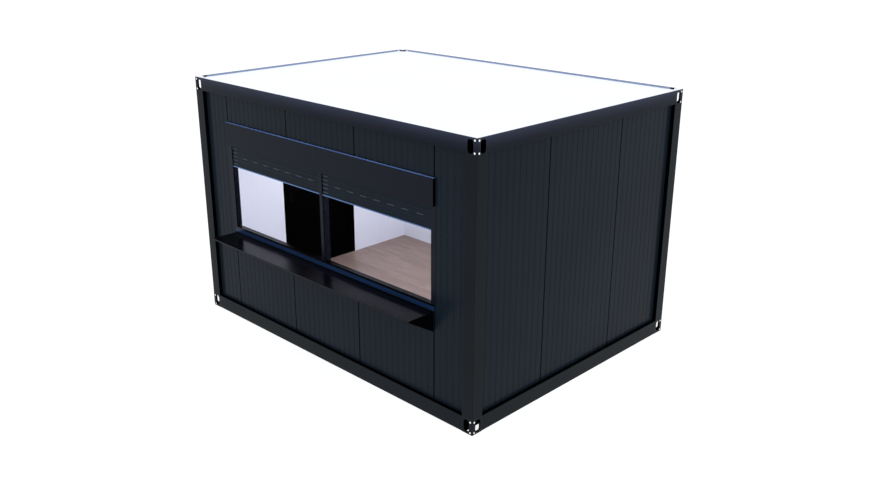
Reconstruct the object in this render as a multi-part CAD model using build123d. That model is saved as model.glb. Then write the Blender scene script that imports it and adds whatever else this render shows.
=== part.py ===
from build123d import *
import math
import os

# Sales container, 4 x 3 m, in millimetres
# Origin: centre of the base frame, on the ground; the serving front faces -Y, the door end faces -X

# Driving sizes of the frame
LENGTH = 4000.0
WIDTH = 3000.0
HEIGHT = 2600.0
PLATE = 5.0
FOLD_RADIUS = 4.0
POST_LEG = 125.0
BASE_RAIL_HEIGHT = 147.0
TOP_RAIL_HEIGHT = 135.0
RECESS = 40.0

# Walls, floor and roof
WALL = 60.0
FLOOR_LEVEL = 150.0
FLOOR_FINISH = 3.0
FLOOR_BOARD = 22.0
UNDERSIDE_SHEET = 2.0
UNDERSIDE_NOTCH = 190.0
FLOOR_JOIST_PITCH = 500.0
CEILING = 60.0
DECK_DROP = 18.0
DECK_SHEET = 3.0
ROOF_JOIST_PITCH = 700.0
JOIST_PLATE = 3.0
JOIST_FLANGE = 45.0
RAIL_SEAT = 45.0
CEILING_LEDGE = 125.0

# Panel profile
PANEL_PITCH = 1000.0
END_BAY = 1060.0
BANDS_PER_METRE = 13
RIB_WIDTH = 12.0
RIB_DEPTH = 1.6
JOINT_HALF = 6.0
JOINT_DEPTH = 12.0
TONGUE_LENGTH = 10.0
TONGUE_WIDTH = 16.0
JOINT_PLAY = 0.5

# Lifting fittings at the eight corners
SLOT_WIDTH = 64.0
SLOT_HEIGHT = 120.0
SLOT_FROM_EDGE = 72.0
BOTTOM_SLOT_LOW = 14.0
TOP_SLOT_GAP = 12.5
BOLT_SEAT = 24.0
BOLT_SEAT_DEPTH = 1.5
BOLT_FROM_EDGE = 26.0
BOLT_FROM_END = 20.0
BOLT_PITCH = 102.0
APERTURE_FROM_END = 33.0
APERTURE_FROM_SIDE = 30.0
APERTURE_WIDTH = 63.0
APERTURE_HEIGHT = 75.0
CAP_SIDE = 65.0
CAP_SHEET = 2.0

# Serving window and roller shutters
WINDOW_HALF = 1500.0
SILL_LOW = 1000.0
SILL_HEIGHT = 60.0
SILL_STEP = 8.0
SILL_STRIP = 25.0
FRAME_PROUD = 3.0
GUIDE_WIDTH = 35.0
GUIDE_FLANGE = 20.0
MULLION_WIDTH = 40.0
MULLION_DEPTH = 73.0
BOX_LOW = 1944.0
BOX_HEIGHT = 236.0
BOX_PROUD = 28.0
BOX_DEPTH = 198.0
BOX_OVERHANG = 12.0
BOX_SHEET = 3.0
BOX_SEAM = 2.0
CURTAIN_LOW = 1720.0
SLAT_PITCH = 39.5
SLATS_IN_VIEW = 5
SLATS_IN_BOX = 2
SLAT_THICKNESS = 9.0
SLAT_INSET = 6.0
BOTTOM_BAR_HEIGHT = 26.5
SLAT_BEVEL = 2.5
SLAT_SHOULDER = 5.0
SLAT_BOW = 0.6
SLAT_GAP = 1.5
SLAT_PLAY = 2.0
INTERLOCK = 3.0
INTERLOCK_LAP = 1.0
BOTTOM_LIP = 8.0
GROOVE_WIDTH = 13.0
GROOVE_DEPTH = 22.0
MULLION_WEB = 4.0
SLIT_WIDTH = 18.0
ROLL_RADIUS = 72.0
ROLL_TUBE_RADIUS = 35.0
SLATS_PER_TURN = 12
ROLL_END_GAP = 20.0
ROLL_TOP_GAP = 12.0

# Counter shelf
SHELF_HALF = 1490.0
SHELF_TOP = 990.0
SHELF_DEPTH = 298.0
SHELF_SHEET = 4.0
SHELF_LIP = 12.0
SHELF_FLANGE = 60.0
GUSSET_HEIGHT = 190.0
GUSSET_SHEET = 4.0
GUSSET_FLANGE = 25.0

# Door in the -X end
DOOR_BAY_HALF = 530.0
DOOR_FRAME_FACE = 50.0
DOOR_HEAD_TOP = 2200.0
DOOR_GAP = 6.0
DOOR_LEAF = 48.0
LEAF_EDGE_RADIUS = 2.0
DOOR_STOP = 12.0
DOOR_STOP_DEPTH = 10.0
DOOR_PROUD = 5.0
THRESHOLD = 5.0
HINGE_RADIUS = 9.0
HINGE_PIN_RADIUS = 5.0
HINGE_BORE_PLAY = 0.1
HINGE_KNUCKLE = 40.0
HINGE_PLATE = 4.0
HINGE_PLATE_WIDTH = 35.0
HINGE_WEB = 5.0
HINGE_CLEARANCE = 1.0
HINGE_PLAY = 0.5
HINGE_HEIGHTS = (420.0, 1150.0, 1900.0)
HANDLE_HEIGHT = 1150.0
HANDLE_FROM_EDGE = 65.0
LEVER_LENGTH = 125.0
LEVER_HEIGHT = 20.0
LEVER_THICKNESS = 10.0
LEVER_CHAMFER = 5.0
SPINDLE_RADIUS = 9.0
LEVER_REACH_OUT = 26.0
LEVER_REACH_IN = 50.0
HANDLE_PLATE = 4.0
HANDLE_PLATE_HALF = 20.0
HANDLE_PLATE_BELOW = 150.0
HANDLE_PLATE_ABOVE = 70.0

# Working values: how near an edge lies to the place it is picked by, and how far a cutter runs past a face
NEAR = 1.0
OVERCUT = 1.0

# Places that follow from the sizes above
HALF_L = LENGTH / 2
HALF_W = WIDTH / 2
INNER_FACE = RECESS + WALL
ROOM_X = HALF_L - INNER_FACE
ROOM_Y = HALF_W - INNER_FACE
TOP_RAIL_LOW = HEIGHT - TOP_RAIL_HEIGHT
DECK_TOP = HEIGHT - DECK_DROP
DECK_LOW = DECK_TOP - DECK_SHEET
CEILING_LOW = TOP_RAIL_LOW + PLATE
BOARD_LOW = FLOOR_LEVEL - FLOOR_FINISH - FLOOR_BOARD
FRONT_FACE = -HALF_W + RECESS
SILL_TOP = SILL_LOW + SILL_HEIGHT
BOX_TOP = BOX_LOW + BOX_HEIGHT
SLAT_FACE = FRONT_FACE + SLAT_INSET
GROOVE_FRONT = SLAT_FACE + (SLAT_THICKNESS - GROOVE_WIDTH) / 2
GROOVE_BACK = GROOVE_FRONT + GROOVE_WIDTH


def block(x0, x1, y0, y1, z0, z1):
    """A box between two corners."""
    centre = Pos((x0 + x1) / 2, (y0 + y1) / 2, (z0 + z1) / 2)
    return centre * Box(x1 - x0, y1 - y0, z1 - z0)


def along_x(points, x0, x1):
    """A (y, z) outline drawn out from x0 to x1."""
    face = make_face(Plane.YZ * Polyline(*points, close=True))
    return Pos(x0, 0, 0) * extrude(face, amount=x1 - x0)


def along_y(points, y0, y1):
    """An (x, z) outline drawn out from y0 to y1."""
    face = make_face(Plane.XZ * Polyline(*points, close=True))
    return Pos(0, y1, 0) * extrude(face, amount=y1 - y0)


def along_z(points, z0, z1):
    """An (x, y) outline drawn out from z0 to z1."""
    face = make_face(Polyline(*points, close=True))
    return Pos(0, 0, z0) * extrude(face, amount=z1 - z0)


def four_sides(make_side):
    """The front, right, back and left pieces, from a function of (length, half span)."""
    front_back = (LENGTH - 2 * POST_LEG, HALF_W)
    ends = (WIDTH - 2 * POST_LEG, HALF_L)
    return {
        "front": make_side(*front_back),
        "right": Rot(0, 0, 90) * make_side(*ends),
        "back": Rot(0, 0, 180) * make_side(*front_back),
        "left": Rot(0, 0, 270) * make_side(*ends),
    }


def four_corners(piece):
    """A piece of the front left corner, mirrored to all four."""
    right = mirror(piece, Plane.YZ)
    return {
        "front_left": piece,
        "front_right": right,
        "back_left": mirror(piece, Plane.XZ),
        "back_right": mirror(right, Plane.XZ),
    }


def corner_cut_plate(half_x, half_y, z0, z1, corner):
    """A level plate, less a square at each corner of the container."""
    plate = block(-half_x, half_x, -half_y, half_y, z0, z1)
    square = block(-HALF_L, corner - HALF_L, -HALF_W, corner - HALF_W, z0, z1)
    for cut in four_corners(square).values():
        plate -= cut
    return plate


def outer_folds(rail, out, levels):
    """The long edges of a rail on its outer face at these heights."""
    on_face = [e for e in rail.edges().filter_by(Axis.X) if abs(e.center().Y - out) < NEAR]
    return [e for e in on_face if any(abs(e.center().Z - z) < NEAR for z in levels)]


def base_rail(length, half_span):
    """A channel lying on its web, with the wide flange up to carry the wall."""
    out = -half_span
    outline = [
        (out, 0),
        (out + RAIL_SEAT, 0),
        (out + RAIL_SEAT, PLATE),
        (out + PLATE, PLATE),
        (out + PLATE, BASE_RAIL_HEIGHT - PLATE),
        (out + INNER_FACE, BASE_RAIL_HEIGHT - PLATE),
        (out + INNER_FACE, BASE_RAIL_HEIGHT),
        (out, BASE_RAIL_HEIGHT),
    ]
    rail = along_x(outline, -length / 2, length / 2)
    return fillet(outer_folds(rail, out, (0, BASE_RAIL_HEIGHT)), FOLD_RADIUS)


def top_rail(length, half_span):
    """The eaves rail: a web, a ledge under the ceiling and a seat for the roof deck."""
    out = -half_span
    outline = [
        (out, TOP_RAIL_LOW),
        (out + CEILING_LEDGE, TOP_RAIL_LOW),
        (out + CEILING_LEDGE, CEILING_LOW),
        (out + PLATE, CEILING_LOW),
        (out + PLATE, DECK_LOW - PLATE),
        (out + RAIL_SEAT, DECK_LOW - PLATE),
        (out + RAIL_SEAT, DECK_LOW),
        (out + PLATE, DECK_LOW),
        (out + PLATE, HEIGHT),
        (out, HEIGHT),
    ]
    rail = along_x(outline, -length / 2, length / 2)
    return fillet(outer_folds(rail, out, (TOP_RAIL_LOW,)), FOLD_RADIUS)


def corner_post():
    """A folded angle with two returns that close on the wall panels."""
    x, y = -HALF_L, -HALF_W
    leg, t, deep = POST_LEG, PLATE, RECESS
    outline = [
        (x, y),
        (x + leg, y),
        (x + leg, y + deep),
        (x + leg - t, y + deep),
        (x + leg - t, y + t),
        (x + t, y + t),
        (x + t, y + leg - t),
        (x + deep, y + leg - t),
        (x + deep, y + leg),
        (x, y + leg),
    ]
    post = along_z(outline, BASE_RAIL_HEIGHT, TOP_RAIL_LOW)
    outer = [e for e in post.edges().filter_by(Axis.Z) if on_outer_bend(e.center(), leg)]
    return fillet(outer, FOLD_RADIUS)


def on_outer_bend(point, leg):
    """True for the three outside folds of the corner post."""
    dx = point.X + HALF_L
    dy = point.Y + HALF_W
    folds = [(0, 0), (leg, 0), (0, leg)]
    return any(math.hypot(dx - a, dy - b) < NEAR for a, b in folds)


def slot_cutters(z_low):
    """The two upright slots in the outer faces of a corner fitting."""
    mid = z_low + SLOT_HEIGHT / 2
    slot = SlotOverall(SLOT_HEIGHT, SLOT_WIDTH, rotation=90)
    front = extrude(Plane.XZ * slot, amount=PLATE, both=True)
    side = extrude(Plane.YZ * slot, amount=PLATE, both=True)
    at_front = Pos(-HALF_L + SLOT_FROM_EDGE, -HALF_W, mid) * front
    at_side = Pos(-HALF_L, -HALF_W + SLOT_FROM_EDGE, mid) * side
    return at_front + at_side


def bolt_seats(z_low):
    """Shallow square seats for two bolt heads in each outer face of a corner fitting."""
    side, deep = BOLT_SEAT, 2 * BOLT_SEAT_DEPTH
    seats = []
    for z in (z_low, z_low + BOLT_PITCH):
        seats.append(Pos(-HALF_L + BOLT_FROM_EDGE, -HALF_W, z) * Box(side, deep, side))
        seats.append(Pos(-HALF_L, -HALF_W + BOLT_FROM_EDGE, z) * Box(deep, side, side))
    return seats


def round_corner(fitting):
    """A corner fitting with its outer upright edge folded round like the post's."""
    upright = fitting.edges().filter_by(Axis.Z)
    corner = [e for e in upright if at_corner(e.center())]
    return fillet(corner, FOLD_RADIUS)


def at_corner(point):
    """True on the upright line of the front left corner."""
    return math.hypot(point.X + HALF_L, point.Y + HALF_W) < NEAR


def bottom_fitting():
    """Folded plate box with a slot in each outer face and an aperture below.

    The aperture runs on up the inner wall that meets the end rail.
    """
    x, y, leg, t = -HALF_L, -HALF_W, POST_LEG, PLATE
    shell = block(x, x + leg, y, y + leg, 0, BASE_RAIL_HEIGHT)
    hollow = block(x + t, x + leg - t, y + t, y + leg - t, t, BASE_RAIL_HEIGHT - t)
    near_x, near_y = x + APERTURE_FROM_END, y + APERTURE_FROM_SIDE
    aperture = block(near_x, near_x + APERTURE_WIDTH, near_y, y + leg, 0, APERTURE_HEIGHT)
    fitting = round_corner(shell) - hollow - aperture - slot_cutters(BOTTOM_SLOT_LOW)
    return fitting - bolt_seats(BOLT_FROM_END)


def top_fitting():
    """Folded plate box whose outer faces run up to the rim, with a raised head inside them."""
    x, y, leg, t = -HALF_L, -HALF_W, POST_LEG, PLATE
    low = TOP_RAIL_LOW
    shoulder = DECK_LOW
    head = HEIGHT - CAP_SHEET
    shell = block(x, x + leg, y, y + leg, low, shoulder)
    shell += block(x, x + leg, y, y + t, low, HEIGHT)
    shell += block(x, x + t, y, y + leg, low, HEIGHT)
    shell += block(x, x + CAP_SIDE, y, y + CAP_SIDE, low, head)
    hollow = block(x + t, x + leg - t, y + t, y + leg - t, low + t, shoulder - t)
    hollow += block(x + t, x + CAP_SIDE - t, y + t, y + CAP_SIDE - t, low + t, head - t)
    slot_low = HEIGHT - TOP_SLOT_GAP - SLOT_HEIGHT
    fitting = round_corner(shell) - hollow - slot_cutters(slot_low)
    return fitting - bolt_seats(HEIGHT - BOLT_FROM_END - BOLT_PITCH)


def panel(x0, x1, z0, z1, half_span, left_edge="plain", right_edge="plain"):
    """One sandwich panel of the front wall: ribbed outside, flat inside.

    An edge is plain, or a rebate for the shadow gap, which may carry a groove or a tongue.
    """
    out = -half_span + RECESS
    inner = out + WALL
    mid = out + WALL / 2
    left, right = x0 + JOINT_PLAY / 2, x1 - JOINT_PLAY / 2
    outline = [(left, inner)]
    if left_edge == "groove":
        deep = TONGUE_LENGTH + JOINT_PLAY
        half = TONGUE_WIDTH / 2 + JOINT_PLAY
        outline += [(left, mid + half), (left + deep, mid + half)]
        outline += [(left + deep, mid - half), (left, mid - half)]
    if left_edge == "plain":
        outline += [(left, out)]
    else:
        outline += [(left, out + JOINT_DEPTH), (left + JOINT_HALF, out + JOINT_DEPTH)]
        outline += [(left + JOINT_HALF, out)]
    bands = max(1, round((x1 - x0) / PANEL_PITCH * BANDS_PER_METRE))
    pitch = (x1 - x0) / bands
    for rib in range(1, bands):
        centre = x0 + rib * pitch
        outline += [(centre - RIB_WIDTH / 2, out), (centre - RIB_WIDTH / 6, out + RIB_DEPTH)]
        outline += [(centre + RIB_WIDTH / 6, out + RIB_DEPTH), (centre + RIB_WIDTH / 2, out)]
    if right_edge == "plain":
        outline += [(right, out)]
    else:
        outline += [(right - JOINT_HALF, out), (right - JOINT_HALF, out + JOINT_DEPTH)]
        outline += [(right, out + JOINT_DEPTH)]
    if right_edge == "tongue":
        half = TONGUE_WIDTH / 2
        outline += [(right, mid - half), (right + TONGUE_LENGTH, mid - half)]
        outline += [(right + TONGUE_LENGTH, mid + half), (right, mid + half)]
    outline += [(right, inner)]
    return along_z(outline, z0, z1)


def panel_row(joints, z0, z1, half_span, outer="plain"):
    """Panels side by side between the joints, with the named edge at both outer ends."""
    row = []
    for left, right in zip(joints, joints[1:]):
        left_edge = outer if left == joints[0] else "groove"
        right_edge = outer if right == joints[-1] else "tongue"
        row.append(panel(left, right, z0, z1, half_span, left_edge, right_edge))
    return row


def floor_underside():
    """The sheet under the floor, cut away round the fittings and beside their apertures."""
    t = UNDERSIDE_SHEET
    sheet = corner_cut_plate(HALF_L - RAIL_SEAT, HALF_W - RAIL_SEAT, 0, t, POST_LEG)
    far_x = -HALF_L + APERTURE_FROM_END + APERTURE_WIDTH
    notch = block(-HALF_L, far_x, -HALF_W, -HALF_W + UNDERSIDE_NOTCH, 0, t)
    for cut in four_corners(notch).values():
        sheet -= cut
    return sheet


def floor_joists():
    """Channels across the container from web to web, notched to sit on the rail flanges."""
    low = UNDERSIDE_SHEET
    reach = HALF_W - PLATE
    seat = HALF_W - RAIL_SEAT
    bays = int(2 * ROOM_X / FLOOR_JOIST_PITCH)
    joists = []
    for index in range(bays + 1):
        x = (index - bays / 2) * FLOOR_JOIST_PITCH
        joist = channel(x, low, BOARD_LOW, reach)
        for side in (-1, 1):
            ends = sorted((side * seat, side * reach))
            joist -= block(x, x + JOIST_FLANGE, *ends, low, PLATE)
        joists.append(joist)
    return joists


def roof_joists():
    """Shallow channels between the roof deck and the ceiling."""
    low = CEILING_LOW + CEILING
    reach = HALF_W - RAIL_SEAT
    bays = int(2 * ROOM_X / ROOF_JOIST_PITCH)
    joists = []
    for index in range(bays + 1):
        x = (index - bays / 2) * ROOF_JOIST_PITCH
        joists.append(channel(x, low, DECK_LOW, reach))
    return joists


def channel(x, z0, z1, reach):
    """A channel section along Y, open towards +X."""
    t, flange = JOIST_PLATE, JOIST_FLANGE
    outline = [
        (x, z0),
        (x + flange, z0),
        (x + flange, z0 + t),
        (x + t, z0 + t),
        (x + t, z1 - t),
        (x + flange, z1 - t),
        (x + flange, z1),
        (x, z1),
    ]
    return along_y(outline, -reach, reach)


def roof_deck():
    """A shallow sheet tray with upstands against the rails and notched corners."""
    x, y = HALF_L - PLATE, HALF_W - PLATE
    tray = corner_cut_plate(x, y, DECK_LOW, HEIGHT - CAP_SHEET, CAP_SIDE)
    inner_x, inner_y = x - DECK_SHEET, y - DECK_SHEET
    return tray - block(-inner_x, inner_x, -inner_y, inner_y, DECK_TOP, HEIGHT)


def window_sill():
    """The lower window frame, stepped down towards the room."""
    out, inner = FRONT_FACE - FRAME_PROUD, FRONT_FACE + WALL + PLATE
    step = FRONT_FACE + SILL_STRIP
    outline = [
        (out, SILL_LOW),
        (inner, SILL_LOW),
        (inner, SILL_TOP - SILL_STEP),
        (step, SILL_TOP - SILL_STEP),
        (step, SILL_TOP),
        (out, SILL_TOP),
    ]
    return along_x(outline, -WINDOW_HALF, WINDOW_HALF)


def shutter_guide():
    """The left upright guide: a jamb with a groove for the slats and a flange over the joint."""
    out, inner = FRONT_FACE - FRAME_PROUD, FRONT_FACE + WALL
    jamb, edge = -WINDOW_HALF, -WINDOW_HALF + GUIDE_WIDTH
    outline = [
        (jamb - GUIDE_FLANGE, out),
        (edge, out),
        (edge, GROOVE_FRONT),
        (edge - GROOVE_DEPTH, GROOVE_FRONT),
        (edge - GROOVE_DEPTH, GROOVE_BACK),
        (edge, GROOVE_BACK),
        (edge, inner),
        (jamb, inner),
        (jamb, FRONT_FACE),
        (jamb - GUIDE_FLANGE, FRONT_FACE),
    ]
    return along_z(outline, SILL_TOP, BOX_LOW)


def window_mullion():
    """The middle post, grooved on both sides for the slats."""
    out = FRONT_FACE - FRAME_PROUD
    inner = FRONT_FACE + MULLION_DEPTH
    half = MULLION_WIDTH / 2
    web = MULLION_WEB / 2
    outline = [
        (-half, out),
        (half, out),
        (half, GROOVE_FRONT),
        (web, GROOVE_FRONT),
        (web, GROOVE_BACK),
        (half, GROOVE_BACK),
        (half, inner),
        (-half, inner),
        (-half, GROOVE_BACK),
        (-web, GROOVE_BACK),
        (-web, GROOVE_FRONT),
        (-half, GROOVE_FRONT),
    ]
    post = along_z(outline, SILL_TOP, BOX_LOW)
    foot = block(-half, half, FRONT_FACE + SILL_STRIP, inner, SILL_TOP - SILL_STEP, SILL_TOP)
    return post + foot


def shutter_box():
    """The left housing: a hollow sheet box with a slit below for the curtain."""
    x0, x1 = -WINDOW_HALF, -BOX_SEAM / 2
    out = FRONT_FACE - BOX_PROUD
    back = out + BOX_DEPTH
    t = BOX_SHEET
    body = block(x0, x1, out, back, BOX_LOW, BOX_TOP)
    body += block(x0 - BOX_OVERHANG, x1, out, FRONT_FACE, BOX_LOW, BOX_TOP)
    body -= block(x0 + t, x1 - t, out + t, back - t, BOX_LOW + t, BOX_TOP - t)
    mid = SLAT_FACE + SLAT_THICKNESS / 2
    slit_start = x0 + GUIDE_WIDTH - GROOVE_DEPTH
    slit = block(slit_start, x1, mid - SLIT_WIDTH / 2, mid + SLIT_WIDTH / 2, BOX_LOW, BOX_LOW + t)
    return body - slit


def slat_outline(z0):
    """One slat in section, bowed to the front, as (y, z) points from its lower edge."""
    front, back = SLAT_FACE, SLAT_FACE + SLAT_THICKNESS
    rise = SLAT_PITCH - SLAT_GAP
    return [
        (front + SLAT_BEVEL, z0),
        (back - SLAT_BEVEL, z0),
        (back, z0 + SLAT_BEVEL),
        (back, z0 + rise - SLAT_BEVEL),
        (back - SLAT_BEVEL, z0 + rise),
        (front + SLAT_BEVEL, z0 + rise),
        (front + SLAT_BOW, z0 + rise - SLAT_SHOULDER),
        (front, z0 + rise / 2),
        (front + SLAT_BOW, z0 + SLAT_SHOULDER),
    ]


def shutter_curtain():
    """The left curtain: interlocked slats and a bottom bar, partly let down."""
    x0 = -WINDOW_HALF + GUIDE_WIDTH - GROOVE_DEPTH + SLAT_PLAY
    x1 = -MULLION_WEB / 2 - SLAT_PLAY
    lip_x0 = -WINDOW_HALF + GUIDE_WIDTH + SLAT_PLAY
    lip_x1 = -MULLION_WIDTH / 2 - SLAT_PLAY
    front, back = SLAT_FACE, SLAT_FACE + SLAT_THICKNESS
    bar_top = CURTAIN_LOW + BOTTOM_BAR_HEIGHT
    curtain = block(lip_x0, lip_x1, front - INTERLOCK, back, CURTAIN_LOW, CURTAIN_LOW + BOTTOM_LIP)
    curtain += block(x0, x1, front, back, CURTAIN_LOW, bar_top)
    for index in range(SLATS_IN_VIEW + SLATS_IN_BOX):
        low = bar_top + index * SLAT_PITCH
        curtain += along_x(slat_outline(low), x0, x1)
        joint_low, joint_high = low - SLAT_GAP - INTERLOCK_LAP, low + INTERLOCK_LAP
        curtain += block(x0, x1, front + INTERLOCK, back - INTERLOCK, joint_low, joint_high)
    return curtain


def shutter_roll():
    """The wound part of the left curtain: stiff slats lie as a polygon round the tube."""
    x0, x1 = -WINDOW_HALF + ROLL_END_GAP, -ROLL_END_GAP
    centre_y = SLAT_FACE + SLAT_THICKNESS + ROLL_RADIUS
    centre_z = BOX_TOP - BOX_SHEET - ROLL_RADIUS - ROLL_TOP_GAP
    slats, tube = (RegularPolygon(r, SLATS_PER_TURN) for r in (ROLL_RADIUS, ROLL_TUBE_RADIUS))
    return Pos(x0, centre_y, centre_z) * extrude(Plane.YZ * (slats - tube), amount=x1 - x0)


def counter_shelf():
    """The shelf sheet under the window with a turned-down lip and a wall flange."""
    wall = FRONT_FACE
    tip = wall - SHELF_DEPTH
    t = SHELF_SHEET
    outline = [
        (wall, SHELF_TOP),
        (tip, SHELF_TOP),
        (tip, SHELF_TOP - SHELF_LIP),
        (tip + t, SHELF_TOP - SHELF_LIP),
        (tip + t, SHELF_TOP - t),
        (wall - t, SHELF_TOP - t),
        (wall - t, SHELF_TOP - SHELF_FLANGE),
        (wall, SHELF_TOP - SHELF_FLANGE),
    ]
    shelf = along_x(outline, -SHELF_HALF, SHELF_HALF)
    long_edges = shelf.edges().filter_by(Axis.X)
    nose = [e for e in long_edges if e.center().Y < tip + NEAR and e.center().Z > SHELF_TOP - NEAR]
    return fillet(nose, SHELF_SHEET / 2)


def counter_gussets():
    """Triangular brackets under the shelf, at its ends and between, each with a wall flange."""
    wall = FRONT_FACE
    t = GUSSET_SHEET
    tip = wall - SHELF_DEPTH + SHELF_SHEET
    top = SHELF_TOP - SHELF_SHEET
    outline = [
        (wall - t, top),
        (tip, top),
        (tip, top - SHELF_LIP + SHELF_SHEET),
        (wall, SHELF_TOP - GUSSET_HEIGHT),
        (wall, SHELF_TOP - SHELF_FLANGE),
        (wall - t, SHELF_TOP - SHELF_FLANGE),
    ]
    gussets = []
    for x in (-SHELF_HALF, -SHELF_HALF / 3):
        web = along_x(outline, x, x + t)
        low, high = SHELF_TOP - GUSSET_HEIGHT, SHELF_TOP - SHELF_FLANGE
        gusset = web + block(x, x + GUSSET_FLANGE, wall - t, wall, low, high)
        gussets += [gusset, mirror(gusset, Plane.YZ)]
    return gussets


def door_frame():
    """Black steel frame round the doorway, with a stop on the room side and a threshold."""
    out, inner = -HALF_L + RECESS, -ROOM_X
    bay, low = DOOR_BAY_HALF, BASE_RAIL_HEIGHT
    clear = bay - DOOR_FRAME_FACE
    clear_top = DOOR_HEAD_TOP - DOOR_FRAME_FACE
    lip = DOOR_STOP + DOOR_GAP
    frame = block(out, inner, -bay, bay, low, DOOR_HEAD_TOP)
    frame -= block(out - OVERCUT, inner - DOOR_STOP_DEPTH, -clear, clear, low, clear_top)
    frame -= block(out - OVERCUT, inner + OVERCUT, -clear + lip, clear - lip, low, clear_top - lip)
    return frame + block(out, inner, -clear, clear, low, low + THRESHOLD)


def door_leaf():
    """The outward-opening leaf, slightly proud of the wall, with its outer edges rounded."""
    out = -HALF_L + RECESS - DOOR_PROUD
    half = DOOR_BAY_HALF - DOOR_FRAME_FACE - DOOR_GAP
    low = BASE_RAIL_HEIGHT + THRESHOLD + DOOR_GAP
    high = DOOR_HEAD_TOP - DOOR_FRAME_FACE - DOOR_GAP
    leaf = block(out, out + DOOR_LEAF, -half, half, low, high)
    return fillet(leaf.faces().sort_by(Axis.X)[0].edges(), LEAF_EDGE_RADIUS)


def hinge_axis():
    """Where the hinge pins stand: just outside the leaf, over the gap to the frame."""
    x = -HALF_L + RECESS - DOOR_PROUD - HINGE_RADIUS - HINGE_CLEARANCE
    y = DOOR_BAY_HALF - DOOR_FRAME_FACE - DOOR_GAP / 2
    return x, y


def hinges_fixed():
    """Lower knuckles with their pins, on plates screwed to the frame."""
    x, y = hinge_axis()
    face = -HALF_L + RECESS
    near = y + DOOR_GAP / 2
    hinges = []
    for z in HINGE_HEIGHTS:
        low = z - HINGE_KNUCKLE
        knuckle = Pos(x, y, z - HINGE_KNUCKLE / 2) * Cylinder(HINGE_RADIUS, HINGE_KNUCKLE)
        pin = Pos(x, y, z + HINGE_KNUCKLE / 2) * Cylinder(HINGE_PIN_RADIUS, HINGE_KNUCKLE)
        plate = block(face - HINGE_PLATE, face, near, near + HINGE_PLATE_WIDTH, low, z)
        web = block(x, face, near, near + HINGE_WEB, low, z)
        hinges.append(knuckle + pin + plate + web)
    return hinges


def hinges_moving():
    """Upper knuckles on plates screwed to the leaf."""
    x, y = hinge_axis()
    face = -HALF_L + RECESS - DOOR_PROUD
    edge = y - HINGE_PLATE
    bore = HINGE_PIN_RADIUS + HINGE_BORE_PLAY
    hinges = []
    for z in HINGE_HEIGHTS:
        low, high = z + HINGE_PLAY, z + HINGE_KNUCKLE
        mid = (low + high) / 2
        knuckle = Pos(x, y, mid) * Cylinder(HINGE_RADIUS, high - low)
        plate = block(face - HINGE_PLATE, face, edge - HINGE_PLATE_WIDTH, edge, low, high)
        web = block(x, face, edge - HINGE_WEB, edge, low, high)
        hole = Pos(x, y, mid) * Cylinder(bore, HINGE_KNUCKLE + 2 * OVERCUT)
        hinges.append(knuckle + plate + web - hole)
    return hinges


def door_handle():
    """A lever outside, within the depth of the frame, and one inside, over narrow plates."""
    out = -HALF_L + RECESS - DOOR_PROUD
    y = -(DOOR_BAY_HALF - DOOR_FRAME_FACE - DOOR_GAP - HANDLE_FROM_EDGE)
    z = HANDLE_HEIGHT
    low, high = z - HANDLE_PLATE_BELOW, z + HANDLE_PLATE_ABOVE
    half = HANDLE_PLATE_HALF
    sides = []
    for face, turn, reach in ((out, -1, LEVER_REACH_OUT), (out + DOOR_LEAF, 1, LEVER_REACH_IN)):
        depth = sorted((face, face + HANDLE_PLATE * turn))
        plate = block(*depth, y - half, y + half, low, high)
        neck = Pos(face + reach / 2 * turn, y, z) * Rot(0, 90, 0) * Cylinder(SPINDLE_RADIUS, reach)
        bar = Box(LEVER_THICKNESS, LEVER_LENGTH + LEVER_HEIGHT, LEVER_HEIGHT)
        bar = chamfer(bar.edges().filter_by(Axis.X), LEVER_CHAMFER)
        lever = Pos(face + reach * turn, y + LEVER_LENGTH / 2, z) * bar
        sides.append(plate + neck + lever)
    return sides


def write(name, pieces):
    """One STEP file for a node, from one solid or several."""
    shapes = pieces if isinstance(pieces, list) else [pieces]
    solids = [s for shape in shapes for s in shape.solids()]
    node = solids[0] if len(solids) == 1 else Compound(children=solids)
    node.label = name
    export_step(node, os.path.join("parts", name + ".step"))


def write_frame():
    """The welded steel frame and its corner fittings."""
    for side, piece in four_sides(base_rail).items():
        write("base_rail_" + side, piece)
    for side, piece in four_sides(top_rail).items():
        write("top_rail_" + side, piece)
    for corner, piece in four_corners(corner_post()).items():
        write("corner_post_" + corner, piece)
    write("bottom_fittings", list(four_corners(bottom_fitting()).values()))
    write("top_fittings", list(four_corners(top_fitting()).values()))


def write_floor_and_roof():
    """Everything between the rails, below and above the room."""
    web_x, web_y = HALF_L - PLATE, HALF_W - PLATE
    write("floor_underside", floor_underside())
    write("floor_joists", floor_joists())
    board_top = BOARD_LOW + FLOOR_BOARD
    write("floor_board", corner_cut_plate(ROOM_X, ROOM_Y, BOARD_LOW, board_top, POST_LEG))
    write("floor_covering", block(-ROOM_X, ROOM_X, -ROOM_Y, ROOM_Y, board_top, FLOOR_LEVEL))
    write("ceiling", corner_cut_plate(web_x, web_y, CEILING_LOW, CEILING_LOW + CEILING, POST_LEG))
    write("roof_joists", roof_joists())
    write("roof_deck", roof_deck())
    x, y, side = -HALF_L + PLATE, -HALF_W + PLATE, CAP_SIDE - PLATE
    cap = block(x, x + side, y, y + side, HEIGHT - CAP_SHEET, HEIGHT)
    write("roof_corner_caps", list(four_corners(cap).values()))


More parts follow.
